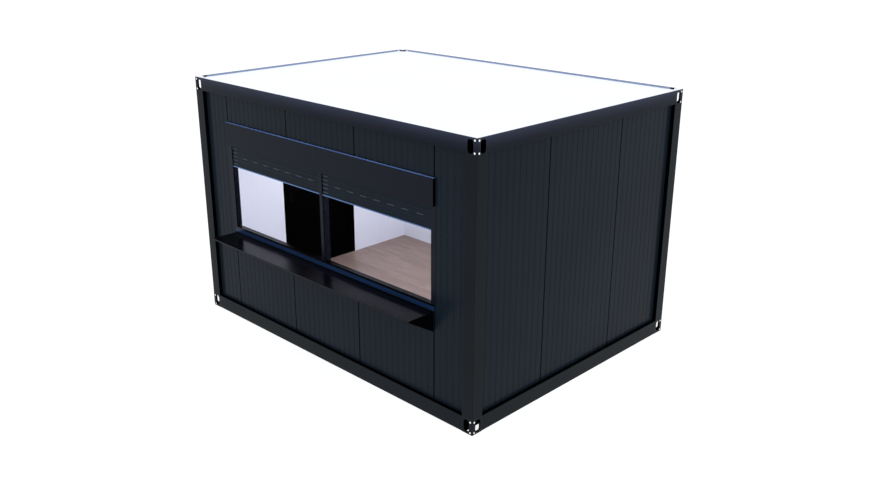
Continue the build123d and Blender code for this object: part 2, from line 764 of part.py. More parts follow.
def write_walls():
    """Sandwich panels of the four walls."""
    low, high = BASE_RAIL_HEIGHT, TOP_RAIL_LOW
    wall_end = HALF_L - RECESS
    inner_end = ROOM_Y
    left = panel(-wall_end, -WINDOW_HALF, low, high, HALF_W, right_edge="rebate")
    right = panel(WINDOW_HALF, wall_end, low, high, HALF_W, left_edge="rebate")
    write("front_wall_left", left)
    write("front_wall_right", right)
    window_joints = [-WINDOW_HALF, -PANEL_PITCH / 2, PANEL_PITCH / 2, WINDOW_HALF]
    write("front_wall_below", panel_row(window_joints, low, SILL_LOW, HALF_W, "rebate"))
    write("front_wall_above", panel_row(window_joints, BOX_TOP, high, HALF_W, "rebate"))
    back_joints = [-wall_end] + window_joints + [wall_end]
    write("back_wall", [Rot(0, 0, 180) * p for p in panel_row(back_joints, low, high, HALF_W)])
    end_joints = [-inner_end, -END_BAY / 2, END_BAY / 2, inner_end]
    write("right_wall", [Rot(0, 0, 90) * p for p in panel_row(end_joints, low, high, HALF_L)])
    bay = DOOR_BAY_HALF
    beside_back = panel(-inner_end, -bay, low, high, HALF_L, right_edge="rebate")
    beside_front = panel(bay, inner_end, low, high, HALF_L, left_edge="rebate")
    over = panel(-bay, bay, DOOR_HEAD_TOP, high, HALF_L, "rebate", "rebate")
    write("left_wall_back", Rot(0, 0, 270) * beside_back)
    write("left_wall_front", Rot(0, 0, 270) * beside_front)
    write("left_wall_over_door", Rot(0, 0, 270) * over)


def write_window():
    """Serving window, roller shutters and counter shelf."""
    write("window_sill", window_sill())
    guide = shutter_guide()
    write("shutter_guides", [guide, mirror(guide, Plane.YZ)])
    write("window_mullion", window_mullion())
    box, curtain, roll = shutter_box(), shutter_curtain(), shutter_roll()
    write("shutter_box_left", box)
    write("shutter_box_right", mirror(box, Plane.YZ))
    write("shutter_curtain_left", curtain)
    write("shutter_curtain_right", mirror(curtain, Plane.YZ))
    write("shutter_rolls", [roll, mirror(roll, Plane.YZ)])
    write("counter_shelf", counter_shelf())
    write("counter_gussets", counter_gussets())


def write_door():
    """The door at the -X end."""
    write("door_frame", door_frame())
    write("door_leaf", door_leaf())
    write("door_handle", door_handle())
    write("door_hinges_fixed", hinges_fixed())
    write("door_hinges_moving", hinges_moving())


os.makedirs("parts", exist_ok=True)
write_frame()
write_floor_and_roof()
write_walls()
write_window()
write_door()
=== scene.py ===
import math
import bmesh
import bpy
from mathutils import Matrix, Vector


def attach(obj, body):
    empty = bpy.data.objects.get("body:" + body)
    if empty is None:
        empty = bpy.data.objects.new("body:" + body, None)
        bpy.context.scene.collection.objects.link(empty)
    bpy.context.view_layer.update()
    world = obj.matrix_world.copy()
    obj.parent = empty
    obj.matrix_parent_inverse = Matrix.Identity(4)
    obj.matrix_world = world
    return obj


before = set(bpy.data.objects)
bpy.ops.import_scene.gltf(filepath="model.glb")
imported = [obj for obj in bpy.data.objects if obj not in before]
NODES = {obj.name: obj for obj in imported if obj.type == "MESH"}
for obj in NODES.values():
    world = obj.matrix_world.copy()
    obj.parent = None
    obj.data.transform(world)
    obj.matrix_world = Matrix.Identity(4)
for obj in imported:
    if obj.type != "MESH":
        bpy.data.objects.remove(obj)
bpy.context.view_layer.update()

# Places and sizes on the CAD pieces, in metres: X along the serving front, -Y out of it, Z up
HALF_L = 2.0             # half the length over the frame
HALF_W = 1.5             # half the width over the frame
RIM = 2.6                # top of the frame
EAVES_LOW = 2.465        # lower edge of the top rails
DECK_TOP = 2.582         # upper face of the roof sheet
FLOOR_RAIL_TOP = 0.147   # upper face of the base rails
POST_LEG = 0.125         # width of a corner post
PLATE = 0.005            # thickness of the corner fittings' plates
RECESS = 0.04            # from the frame's outer face in to the walls'
END_BAY_HALF = 0.53      # half the middle bay of the end walls
BOX_HALF = 1.512         # from the middle to the outer ends of the shutter boxes
BOX_TOP = 2.18
BOX_FRONT = -1.488
WALL_FRONT = -1.46       # outer face of the front wall
GROOVE_FRONT = -1.4566   # front and back of the grooves that the slats run in
GROOVE_BACK = -1.4424
ROOM_X = 1.9             # inner faces of the end walls: what lies within is white
ROOM_Y = 1.4             # inner faces of the long walls
FACE_SLACK = 0.0006      # how far a mask reaches past a face, so that the face is well in or out

# The pressed bands of the wall panels
BANDS_PER_METRE = 13
END_BAY_BANDS = 14       # in the middle bay of the end walls
END_SIDE_BANDS = 11      # in the bays beside it
LONG_JOINT = 1.5         # outermost panel joints of the long walls
HALF_BAND = 0.5
LINE_SIDES = 8           # up and down sides of the fine lines in one band

# Where the colour changes within a piece
SILL_BLUE_TOP = 1.0395   # the sill is blue up to here and painted black over it as shade
JOINT_SHADE_DEPTH = 0.0021     # how deep in a panel joint the skin turns black, as painted shade
CORNER_WHITE = 0.095     # how far from each corner of the roof its upstand is white; further on it is pale blue, painted shade

# Noise textures keep mostly to this part of 0..1, which tones and roughnesses spread out
NOISE_RANGE = (0.3, 0.7)
# Cosines: of a face's slope, from steep to level, and of the turn at an edge, from flat to worn
LEVEL_RANGE = (0.6, 0.95)
WORN_RANGE = (0.995, 0.8)
EDGE_SAMPLES = 4
GRAIN_DEPTH = 0.0006     # of the fine relief of paint, sheet and wood


class Finish:
    """One procedural material on a Principled shader, laid out in the row frame at rest."""

    def __init__(self, name, metallic=0.0, specular=0.5):
        self.material = bpy.data.materials.new(name)
        self.material.use_nodes = True
        self.tree = self.material.node_tree
        self.bsdf = self.tree.nodes["Principled BSDF"]
        self.bsdf.inputs["Metallic"].default_value = metallic
        self.bsdf.inputs["Specular IOR Level"].default_value = specular
        self.coords = self.node("ShaderNodeTexCoord").outputs["Object"]
        self.geometry = self.node("ShaderNodeNewGeometry")

    def node(self, kind, inputs=None, **props):
        """A new node, with its properties set and its inputs fed."""
        made = self.tree.nodes.new(kind)
        for key, value in props.items():
            setattr(made, key, value)
        for key, value in (inputs or {}).items():
            self.feed(made.inputs[key], value)
        return made

    def feed(self, socket, value):
        """Links another node's output to the socket, or sets a plain value."""
        if isinstance(value, bpy.types.NodeSocket):
            self.tree.links.new(value, socket)
        else:
            socket.default_value = value

    def math(self, operation, a, b=0.0):
        return self.node("ShaderNodeMath", {0: a, 1: b}, operation=operation).outputs[0]

    def plus(self, a, b):
        return self.math("ADD", a, b)

    def minus(self, a, b):
        return self.math("SUBTRACT", a, b)

    def times(self, a, b):
        return self.math("MULTIPLY", a, b)

    def either(self, a, b):
        """The greater of two masks."""
        return self.math("MAXIMUM", a, b)

    def above(self, value, limit):
        """1 where value is over limit, 0 elsewhere."""
        return self.math("GREATER_THAN", value, limit)

    def below(self, value, limit):
        """1 where value is under limit, 0 elsewhere."""
        return self.math("LESS_THAN", value, limit)

    def zigzag(self, value, size):
        """Up from 0 to size and down again, over and over."""
        return self.math("PINGPONG", value, size)

    def span(self, value, low, high, to_low=0.0, to_high=1.0):
        """value from low..high mapped on to_low..to_high, and held at the ends."""
        inputs = {0: value, 1: low, 2: high, 3: to_low, 4: to_high}
        return self.node("ShaderNodeMapRange", inputs).outputs[0]

    def mix_value(self, share, a, b):
        """Number a where share is 0 and b where it is 1."""
        return self.node("ShaderNodeMix", {0: share, 2: a, 3: b}, data_type="FLOAT").outputs[0]

    def mix(self, share, a, b):
        """Colour a where share is 0 and b where it is 1."""
        return self.node("ShaderNodeMix", {0: share, 6: a, 7: b}, data_type="RGBA").outputs[2]

    def tint(self, tone, mask, share, color):
        """tone with this share of color where mask is 1."""
        return self.mix(self.times(mask, share), tone, color)

    def stretched(self, scale):
        """Coordinates multiplied axis by axis."""
        inputs = {"Vector": self.coords, "Scale": scale}
        return self.node("ShaderNodeMapping", inputs).outputs[0]

    def noise(self, scale, detail, vector=None):
        inputs = {"Vector": vector or self.coords, "Scale": scale, "Detail": detail}
        return self.node("ShaderNodeTexNoise", inputs).outputs["Fac"]

    def drift(self, scale, detail=4.0, low=0.0, high=1.0):
        """A slow change over the surface, from low to high."""
        return self.span(self.noise(scale, detail), *NOISE_RANGE, low, high)

    def axis(self, name):
        return self.node("ShaderNodeSeparateXYZ", {0: self.coords}).outputs[name]

    def facing(self, name):
        """One part of the face's normal."""
        normal = self.geometry.outputs["Normal"]
        return self.node("ShaderNodeSeparateXYZ", {0: normal}).outputs[name]

    def off_centre(self, name):
        """Distance from the middle of the container along X or Y."""
        return self.math("ABSOLUTE", self.axis(name))

    def within(self, x_half, y_half):
        """1 inside an upright block round the middle of the container, 0 elsewhere."""
        x = self.below(self.off_centre("X"), x_half)
        y = self.below(self.off_centre("Y"), y_half)
        return self.times(x, y)

    def between(self, value, low, high):
        """1 where value is over low and under high, 0 elsewhere."""
        return self.times(self.above(value, low), self.below(value, high))

    def in_room(self):
        """1 on faces that stand inside the room, 0 elsewhere."""
        return self.within(ROOM_X + FACE_SLACK, ROOM_Y + FACE_SLACK)

    def upward(self):
        """1 on faces that look up."""
        return self.span(self.facing("Z"), *LEVEL_RANGE)

    def outward(self):
        """Over 0 on upright faces that look away from the middle, under 0 on those that look in."""
        both = {0: self.geometry.outputs["Normal"], 1: self.coords}
        product = self.node("ShaderNodeVectorMath", both, operation="MULTIPLY").outputs["Vector"]
        parts = self.node("ShaderNodeSeparateXYZ", {0: product})
        return self.plus(parts.outputs["X"], parts.outputs["Y"])

    def edge(self, radius):
        """(softened normal, mask of the worn edges)."""
        soft = self.node("ShaderNodeBevel", {"Radius": radius}, samples=EDGE_SAMPLES).outputs[0]
        both = {0: soft, 1: self.geometry.outputs["Normal"]}
        turn = self.node("ShaderNodeVectorMath", both, operation="DOT_PRODUCT").outputs["Value"]
        return soft, self.span(turn, *WORN_RANGE)

    def bump(self, height, strength, distance, normal=None):
        inputs = {"Height": height, "Strength": strength, "Distance": distance}
        if normal:
            inputs["Normal"] = normal
        return self.node("ShaderNodeBump", inputs).outputs[0]

    def specular(self, level):
        self.feed(self.bsdf.inputs["Specular IOR Level"], level)

    def use(self, color, rough, normal=None):
        """Feeds the shader and returns the material."""
        for key, value in (("Base Color", color), ("Roughness", rough), ("Normal", normal)):
            if value is not None:
                self.feed(self.bsdf.inputs[key], value)
        return self.material


def rgb(r, g, b):
    """An 8-bit sRGB colour as linear RGBA."""
    def linear(c):
        c /= 255
        return c / 12.92 if c <= 0.04045 else ((c + 0.055) / 1.055) ** 2.4
    return (linear(r), linear(g), linear(b), 1.0)


def scaled(color, by):
    """A colour that is brighter or darker by a factor."""
    return tuple(c * by for c in color[:3]) + (1.0,)


BLACK = (0.0, 0.0, 0.0, 1.0)
WHITE = (1.0, 1.0, 1.0, 1.0)
INNER_WHITE = rgb(233, 236, 247)
ROOF_WHITE = rgb(238, 238, 239)
ANTHRACITE = rgb(12, 18, 23)
# Painted light: the eaves are lit bluish at the top and fade down to a darker foot
EAVES_SKYLIT_TOP = rgb(40, 47, 64)
EAVES_FOOT = rgb(10, 15, 26)
DUST = rgb(96, 96, 98)


def paint(name, color, rough=0.45, specular=0.15, radius=0.0015, wear=0.5, dust=0.25,
          two_tone=False, peel=0.05, shaded_foot=None, zones=()):
    """Sprayed or coil-coated paint: tone drift, orange peel, lighter worn edges, dust on top.

    two_tone is white inside the room. shaded_foot is the paint's colour at the foot of the eaves,
    over which color is a painted light at their top. zones are parts with a tone of their own,
    painted shade and painted light among them: (mask, colour, share of the specular level).
    """
    f = Finish(name, specular=specular)
    drift = f.drift(1.7)
    speck = f.span(f.noise(60.0, 2.0), 0.35, 0.75)
    tone = f.mix(drift, scaled(color, 0.86), scaled(color, 1.16))
    tone = f.tint(tone, speck, 0.12, scaled(color, 1.8))
    soft, edge = f.edge(radius)
    scuffs = f.times(edge, f.span(f.noise(35.0, 5.0), 0.42, 0.62, 0.15, 1.0))
    tone = f.tint(tone, scuffs, wear, scaled(color, 3.2))
    settled = f.times(f.upward(), f.span(f.noise(9.0, 6.0), 0.35, 0.7, 0.4, 1.0))
    tone = f.tint(tone, settled, dust, DUST)
    # painted light: the tone brightens from the eaves' foot up to their top
    if shaded_foot:
        up = f.span(f.axis("Z"), EAVES_LOW, RIM)
        tone = f.mix(f.times(up, up), shaded_foot, tone)
    gleam = specular
    for mask, zone_tone, share in zones:
        zone = mask(f)
        tone = f.mix(zone, tone, zone_tone)
        gleam = f.mix_value(zone, gleam, specular * share)
    f.specular(gleam)
    if two_tone:
        tone = f.mix(f.in_room(), tone, INNER_WHITE)
    gloss = f.plus(f.span(drift, 0, 1, rough - 0.05, rough + 0.05), f.times(edge, 0.1))
    return f.use(tone, gloss, f.bump(f.noise(420.0, 2.0), peel, GRAIN_DEPTH, soft))


def frame_recess_shade(f):
    """The flanges of the base rails outside the walls, and the returns of the posts: painted black
    as shade in the recess.
    """
    z = f.axis("Z")
    level = f.between(z, FLOOR_RAIL_TOP - FACE_SLACK, FLOOR_RAIL_TOP + FACE_SLACK)
    flange = f.times(level, f.upward())
    leg_x = f.below(f.off_centre("X"), HALF_L - POST_LEG + FACE_SLACK)
    leg_y = f.below(f.off_centre("Y"), HALF_W - POST_LEG + FACE_SLACK)
    height = f.between(z, FLOOR_RAIL_TOP + FACE_SLACK, EAVES_LOW)
    return f.either(flange, f.times(f.either(leg_x, leg_y), height))


def fitting_inside_shade(f):
    """The inner faces of the corner fittings, below the roof: painted black as the shade inside
    them.
    """
    hollow = f.within(HALF_L - PLATE + FACE_SLACK, HALF_W - PLATE + FACE_SLACK)
    return f.times(hollow, f.below(f.axis("Z"), DECK_TOP))


def fitting_heads(f):
    """The tops and roof-side faces of the fittings' heads, but for the back left one."""
    inside = f.within(HALF_L - PLATE - FACE_SLACK, HALF_W - PLATE - FACE_SLACK)
    over = f.times(inside, f.above(f.axis("Z"), DECK_TOP))
    shown = f.either(f.below(f.outward(), -FACE_SLACK), f.upward())
    back_left = f.times(f.below(f.axis("X"), 0.0), f.above(f.axis("Y"), 0.0))
    return f.times(f.times(over, shown), f.minus(1.0, back_left))


def sill_top_shade(f):
    """The sill above its blue front, painted black as shade."""
    return f.above(f.axis("Z"), SILL_BLUE_TOP)


def slat_groove_light(f):
    """The grooves for the slats in the guides and the middle post, painted lighter against the
    shade in them.
    """
    return f.between(f.axis("Y"), GROOVE_FRONT, GROOVE_BACK)


def box_end_shade(f):
    """The end faces of the shutter boxes, painted black as shade."""
    return f.above(f.off_centre("X"), BOX_HALF - FACE_SLACK)


def wall_finish():
    """Coil-coated panel skins: dark with fine lines outside, white with faint lines inside."""
    specular = 0.05
    f = Finish("wall_skin", specular=specular)
    dark = rgb(18, 26, 34)
    x, y, off = f.axis("X"), f.axis("Y"), f.off_centre("Y")
    drift = f.drift(1.1)
    streaks = f.noise(1.0, 3.0, f.stretched((26.0, 26.0, 0.6)))
    tone = f.mix(drift, scaled(dark, 0.9), scaled(dark, 1.12))
    tone = f.tint(tone, f.span(streaks, 0.45, 0.75), 0.15, scaled(dark, 1.5))

    # painted shade: the skin darkens a little towards each groove; the bays of the end walls have
    # their own pitch
    on_end = f.above(f.math("ABSOLUTE", f.facing("X")), 0.5)
    end_middle = f.times(f.plus(y, END_BAY_HALF), END_BAY_BANDS / (2 * END_BAY_HALF))
    end_side = f.times(f.minus(off, END_BAY_HALF), END_SIDE_BANDS / (ROOM_Y - END_BAY_HALF))
    end_phase = f.mix_value(f.below(off, END_BAY_HALF), end_side, end_middle)
    long_phase = f.times(f.plus(x, LONG_JOINT), BANDS_PER_METRE)
    phase = f.mix_value(on_end, long_phase, end_phase)
    groove_shade = f.span(f.zigzag(phase, HALF_BAND), 0.30, 0.06)
    tone = f.tint(tone, groove_shade, 0.14, scaled(dark, 0.25))
    soft, edge = f.edge(0.0012)
    tone = f.tint(tone, edge, 0.25, scaled(dark, 2.4))

    # painted shade: deep in the joints between the panels the skin is black
    gap = f.within(HALF_L - RECESS - JOINT_SHADE_DEPTH, HALF_W - RECESS - JOINT_SHADE_DEPTH)
    tone = f.mix(gap, tone, BLACK)
    f.specular(f.mix_value(gap, specular, 0.0))

    # position along the wall: y on the end walls, x on the long ones
    along = f.plus(f.times(on_end, y), f.times(f.minus(1.0, on_end), x))
    seam_phase = f.plus(f.times(along, BANDS_PER_METRE), HALF_BAND)
    seams = f.span(f.zigzag(seam_phase, HALF_BAND), 0.0, 0.05)
    white = f.tint(INNER_WHITE, f.minus(1.0, seams), 0.10, rgb(196, 198, 210))
    white = f.tint(white, drift, 0.10, rgb(205, 208, 220))
    tone = f.mix(f.in_room(), tone, white)

    lines = f.zigzag(f.times(along, BANDS_PER_METRE * LINE_SIDES), 1.0)
    height = f.plus(f.times(lines, 0.25), f.times(f.noise(300.0, 2.0), 0.5))
    return f.use(tone, f.span(drift, 0, 1, 0.22, 0.28), f.bump(height, 0.06, GRAIN_DEPTH, soft))


def roof_finish():
    """White coated sheet, a little dusty and dented; its rims are black out, and pale blue in as
    painted shade.
    """
    f = Finish("roof_sheet", specular=0.3)
    clouds = f.span(f.noise(0.9, 5.0), 0.35, 0.75)
    tone = f.tint(ROOF_WHITE, clouds, 0.18, rgb(222, 224, 228))
    specks = f.span(f.noise(140.0, 3.0), 0.72, 0.8)
    tone = f.tint(tone, specks, 0.12, rgb(168, 168, 170))
    soft, edge = f.edge(0.0015)
    tone = f.tint(tone, edge, 0.2, rgb(205, 208, 214))
    corner = f.times(f.above(f.off_centre("X"), HALF_L - CORNER_WHITE),
                     f.above(f.off_centre("Y"), HALF_W - CORNER_WHITE))
    # painted shade: the upstands' inner faces are pale blue, white near the corners
    side = f.mix(corner, rgb(126, 142, 178), ROOF_WHITE)
    side = f.mix(f.above(f.outward(), FACE_SLACK), side, BLACK)
    tone = f.mix(f.upward(), side, tone)
    dents = f.bump(f.noise(2.2, 2.0), 0.1, 0.004, soft)
    normal = f.bump(f.noise(380.0, 2.0), 0.05, GRAIN_DEPTH, dents)
    return f.use(tone, f.span(clouds, 0, 1, 0.5, 0.62), normal)


def galvanised_finish():
    """Zinc spangle on sheet steel."""
    f = Finish("galvanised", metallic=0.85, specular=0.5)
    cells = f.node("ShaderNodeTexVoronoi", {"Vector": f.coords, "Scale": 70.0}).outputs["Color"]
    flake = f.node("ShaderNodeSeparateColor", {0: cells}).outputs[0]
    tone = f.mix(flake, rgb(132, 136, 140), rgb(172, 176, 180))
    tone = f.mix(f.span(f.noise(3.0, 5.0), 0.5, 0.8, 0, 0.5), tone, rgb(120, 118, 114))
    soft, edge = f.edge(0.001)
    tone = f.tint(tone, edge, 0.4, rgb(205, 208, 212))
    return f.use(tone, f.span(flake, 0, 1, 0.32, 0.5), f.bump(flake, 0.05, 0.0004, soft))


def plywood_finish():
    """Coated plywood with its plies on the edges."""
    f = Finish("plywood", specular=0.3)
    ply = 0.0022
    fibres = f.noise(6.0, 5.0, f.stretched((1.0, 14.0, 14.0)))
    tone = f.mix(f.span(fibres, *NOISE_RANGE), rgb(150, 112, 74), rgb(192, 154, 108))
    plies = f.zigzag(f.times(f.axis("Z"), 1 / ply), 1.0)
    tone = f.tint(tone, f.times(plies, f.minus(1.0, f.upward())), 0.35, rgb(96, 66, 40))
    soft, _ = f.edge(0.001)
    rough = f.span(fibres, *NOISE_RANGE, 0.55, 0.7)
    return f.use(tone, rough, f.bump(fibres, 0.2, GRAIN_DEPTH, soft))


# The floor's planks: three rows of strips to a plank, three strips long
STRIP_LENGTH, STRIP_WIDTH, STRIP_GAP = 0.43, 0.0645, 0.0006
PLANK_LENGTH, PLANK_WIDTH, PLANK_GAP = 1.29, 0.1935, 0.0011


def plank_finish():
    """Wood-look planks laid along X, in strips of three, grey-brown and half matt."""
    f = Finish("floor_planks", specular=0.35)

    def bricks(first, second, joint, length, width, gap, offset):
        return f.node("ShaderNodeTexBrick", {
            "Vector": f.coords, "Color1": first, "Color2": second, "Mortar": joint,
            "Scale": 1.0, "Mortar Size": gap, "Brick Width": length, "Row Height": width,
        }, offset=offset, offset_frequency=2)

    strips = bricks(rgb(129, 111, 102), rgb(154, 134, 124), rgb(108, 90, 83),
                    STRIP_LENGTH, STRIP_WIDTH, STRIP_GAP, 0.37)
    planks = bricks(BLACK, BLACK, WHITE, PLANK_LENGTH, PLANK_WIDTH, PLANK_GAP, 0.41)
    grain = f.noise(5.0, 7.0, f.stretched((1.0, 16.0, 16.0)))
    pores = f.noise(18.0, 4.0, f.stretched((1.0, 22.0, 22.0)))
    light = strips.outputs["Color"]
    tone = f.mix(f.span(grain, 0.3, 0.72, 0, 0.75), light, rgb(119, 99, 91))
    tone = f.mix(f.span(pores, 0.5, 0.75, 0, 0.45), tone, rgb(92, 74, 68))
    joint = planks.outputs["Fac"]
    tone = f.tint(tone, joint, 0.55, rgb(86, 70, 64))
    rough = f.span(grain, *NOISE_RANGE, 0.34, 0.46)
    height = f.minus(f.times(pores, 0.4), joint)
    return f.use(tone, rough, f.bump(height, 0.15, GRAIN_DEPTH))


def ceiling_finish():
    """White ceiling panels, joined every metre."""
    f = Finish("ceiling_skin", specular=0.3)
    half_panel = 0.5
    seams = f.zigzag(f.plus(f.axis("X"), half_panel), half_panel)
    drift = f.drift(1.4)
    tone = f.mix(drift, rgb(222, 224, 233), rgb(232, 234, 242))
    tone = f.mix(f.span(seams, 0.0, 0.004, 0.5, 0.0), tone, rgb(150, 152, 162))
    soft, _ = f.edge(0.001)
    normal = f.bump(f.noise(300.0, 2.0), 0.05, GRAIN_DEPTH, soft)
    return f.use(tone, f.span(drift, 0, 1, 0.45, 0.55), normal)


def metal_finish(name, color, rough, metallic):
    """Brushed hardware metal with handled edges."""
    f = Finish(name, metallic=metallic)
    brushed = f.noise(90.0, 4.0, f.stretched((1.0, 1.0, 6.0)))
    tone = f.mix(f.span(brushed, *NOISE_RANGE), scaled(color, 0.85), scaled(color, 1.15))
    soft, edge = f.edge(0.0008)
    tone = f.tint(tone, edge, 0.5, scaled(color, 1.7))
    gloss = f.span(brushed, *NOISE_RANGE, rough - 0.06, rough + 0.08)
    return f.use(tone, gloss, f.bump(brushed, 0.06, 0.0003, soft))


def rubber_finish():
    """Black seal rubber."""
    f = Finish("seal_rubber", specular=0.25)
    bloom = f.span(f.noise(40.0, 4.0), 0.4, 0.7)
    tone = f.mix(bloom, rgb(10, 10, 11), rgb(20, 20, 21))
    soft, _ = f.edge(0.001)
    normal = f.bump(f.noise(500.0, 2.0), 0.1, 0.0004, soft)
    return f.use(tone, f.span(bloom, 0, 1, 0.6, 0.75), normal)


# painted shade: the frame is black in its recess beside the walls
FRAME_PAINT = paint("frame_paint", ANTHRACITE, rough=0.42, specular=0.07, two_tone=True,
                    radius=0.003, zones=((frame_recess_shade, BLACK, 0.4),))
EAVES_PAINT = paint("eaves_paint", EAVES_SKYLIT_TOP, rough=0.42, specular=0.07, two_tone=True,
                    radius=0.003, shaded_foot=EAVES_FOOT)
# painted shade: the fittings are black inside
FITTING_PAINT = paint("fitting_paint", ANTHRACITE, rough=0.4, specular=0.08, radius=0.002,
                      wear=0.3, zones=((fitting_inside_shade, BLACK, 0.0),))
TOP_FITTING_PAINT = paint("top_fitting_paint", EAVES_SKYLIT_TOP, rough=0.4, specular=0.08,
                          radius=0.002, wear=0.3, shaded_foot=EAVES_FOOT,
                          zones=((fitting_inside_shade, BLACK, 0.0), (fitting_heads, ROOF_WHITE, 1.0)))
WALL_SKIN = wall_finish()
ROOF_SHEET = roof_finish()
GALVANISED = galvanised_finish()
PLYWOOD = plywood_finish()
PLANKS = plank_finish()
CEILING_SKIN = ceiling_finish()
# painted light: the slat grooves are lighter than the rest of the window frame
WINDOW_PAINT = paint("window_paint", rgb(10, 14, 25), rough=0.28, specular=0.09, dust=0.1,
                     wear=0.15, zones=((slat_groove_light, rgb(30, 34, 44), 1.0),))
# painted shade: the sill's top band is black
SILL_PAINT = paint("sill_paint", rgb(19, 41, 73), rough=0.2, specular=0.1, dust=0.0, wear=0.2,
                   peel=0.02, zones=((sill_top_shade, BLACK, 1.1),))
# painted shade: the shutter boxes' end faces are black
SHUTTER_PAINT = paint("shutter_paint", rgb(15, 20, 28), rough=0.42, specular=0.06, dust=0.15,
                      zones=((box_end_shade, BLACK, 0.4),))
CURTAIN_PAINT = paint("curtain_paint", rgb(15, 24, 33), rough=0.42, specular=0.06, dust=0.1)
# painted reflection: the pale blue strip on the shutter boxes stands for the sky seen in their tops
SKY_GLINT_STRIP = paint("sky_glint_strip", rgb(93, 122, 178), rough=0.5, specular=0.2,
                       dust=0.02, wear=0.1)
SHELF_PAINT = paint("shelf_paint", rgb(3, 3, 6), rough=0.2, specular=0.11, dust=0.0, wear=0.1,
                    peel=0.02)
# painted shade: the door is black paint darkened further, with hardly any gloss
DOOR_BLACK_AND_SHADE = paint("door_paint", rgb(2, 2, 2), rough=0.5, specular=0.01, dust=0.01, wear=0.1)
HANDLE_METAL = paint("handle_metal", rgb(5, 5, 6), rough=0.5, specular=0.03, dust=0.02,
                     wear=0.3, radius=0.0008)
ROLL_SLATS = paint("roll_slats", rgb(34, 38, 44), rough=0.5)
BRIGHT_METAL = metal_finish("bright_metal", rgb(250, 250, 251), 0.45, 0.3)
# painted reflection: the curtains' aluminium nose is tinted pale blue for the sky
NOSE_ALUMINIUM_SKY_GLINT = metal_finish("nose_aluminium_sky_glint", rgb(98, 130, 178), 0.35, 0.8)
# painted highlight: the slat beads are far lighter than the slats
BEAD_HIGHLIGHT = metal_finish("bead_highlight", rgb(96, 108, 132), 0.35, 0.5)
SEAL_RUBBER = rubber_finish()

# How the names of the CAD nodes start, and their finishes
LOOKS = {
    "base_rail_": FRAME_PAINT, "top_rail_": EAVES_PAINT, "corner_post_": FRAME_PAINT,
    "bottom_fittings": FITTING_PAINT, "top_fittings": TOP_FITTING_PAINT,
    "floor_underside": GALVANISED, "floor_joists": GALVANISED, "roof_joists": GALVANISED,
    "floor_board": PLYWOOD, "floor_covering": PLANKS, "ceiling": CEILING_SKIN,
    "roof_deck": ROOF_SHEET, "roof_corner_caps": ROOF_SHEET,
    "front_wall_": WALL_SKIN, "back_wall": WALL_SKIN, "right_wall": WALL_SKIN,
    "left_wall_": WALL_SKIN,
    "window_sill": SILL_PAINT, "window_mullion": WINDOW_PAINT, "shutter_guides": WINDOW_PAINT,
    "shutter_box_": SHUTTER_PAINT, "shutter_curtain_": CURTAIN_PAINT,
    "shutter_rolls": ROLL_SLATS,
    "counter_": SHELF_PAINT,
    "door_frame": DOOR_BLACK_AND_SHADE, "door_leaf": DOOR_BLACK_AND_SHADE,
    "door_handle": HANDLE_METAL, "door_hinges_": HANDLE_METAL,
}


def dress_nodes():
    """Gives every CAD node its finish."""
    for name, obj in NODES.items():
        look = next(finish for start, finish in LOOKS.items() if name.startswith(start))
        obj.data.materials.clear()
        obj.data.materials.append(look)
        for polygon in obj.data.polygons:
            polygon.use_smooth = False


def link(name, data):
    """A new object of the scene."""
    obj = bpy.data.objects.new(name, data)
    bpy.context.scene.collection.objects.link(obj)
    return obj


def add_piece(name, bm, finish, body="container"):
    """Turns bm, in metres of the row frame, into a piece that rides on a CAD body."""
    bmesh.ops.recalc_face_normals(bm, faces=bm.faces)
    mesh = bpy.data.meshes.new(name)
    bm.to_mesh(mesh)
    bm.free()
    mesh.materials.append(finish)
    obj = link(name, mesh)
    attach(obj, body)


def skin(bm, rings):
    """Adds the faces from each ring of corners to the next, and an end face at both ends."""
    for low, high in zip(rings, rings[1:]):
        for k in range(len(low)):
            n = (k + 1) % len(low)
            bm.faces.new((low[k], low[n], high[n], high[k]))
    bm.faces.new(list(reversed(rings[0])))
    bm.faces.new(rings[-1])


TURNED_SIDES = 24
ROD_SIDES = 10
ROD_END_RINGS = 4
ROD_TIP = 0.05    # radius at the very end of a rod, as a share of the rod's
EDGE_STEPS = 2    # faces across an eased edge


def six_sided(radius, angle):
    """Distance from the middle of a hexagon to its rim, where radius is that to its flats."""
    return radius / math.cos((angle + math.pi / 6) % (math.pi / 3) - math.pi / 6)


def turned(bm, place, axis, profile):
    """Adds a closed turned form: profile has (radius, height, six-sided) rings along axis."""
    axis = Vector(axis)
    side = axis.orthogonal().normalized()
    other = axis.cross(side)
    rings = []
    for radius, height, six in profile:
        ring = []
        for k in range(TURNED_SIDES):
            a = 2 * math.pi * k / TURNED_SIDES
            r = six_sided(radius, a) if six else radius
            around = (side * math.cos(a) + other * math.sin(a)) * r
            ring.append(bm.verts.new(Vector(place) + axis * height + around))
        rings.append(ring)
    skin(bm, rings)


def rod(bm, start, length, radius):
    """Adds a round-ended rod along X."""
    end = []
    for k in range(ROD_END_RINGS + 1):
        a = math.pi / 2 * k / ROD_END_RINGS
        end.append((radius - radius * math.cos(a), radius * max(math.sin(a), ROD_TIP)))
    stations = end + [(length - x, r) for x, r in reversed(end)]
    angles = [2 * math.pi * k / ROD_SIDES for k in range(ROD_SIDES)]
    skin(bm, [[bm.verts.new((start[0] + x, start[1] + r * math.cos(a), start[2] + r * math.sin(a)))
               for a in angles] for x, r in stations])


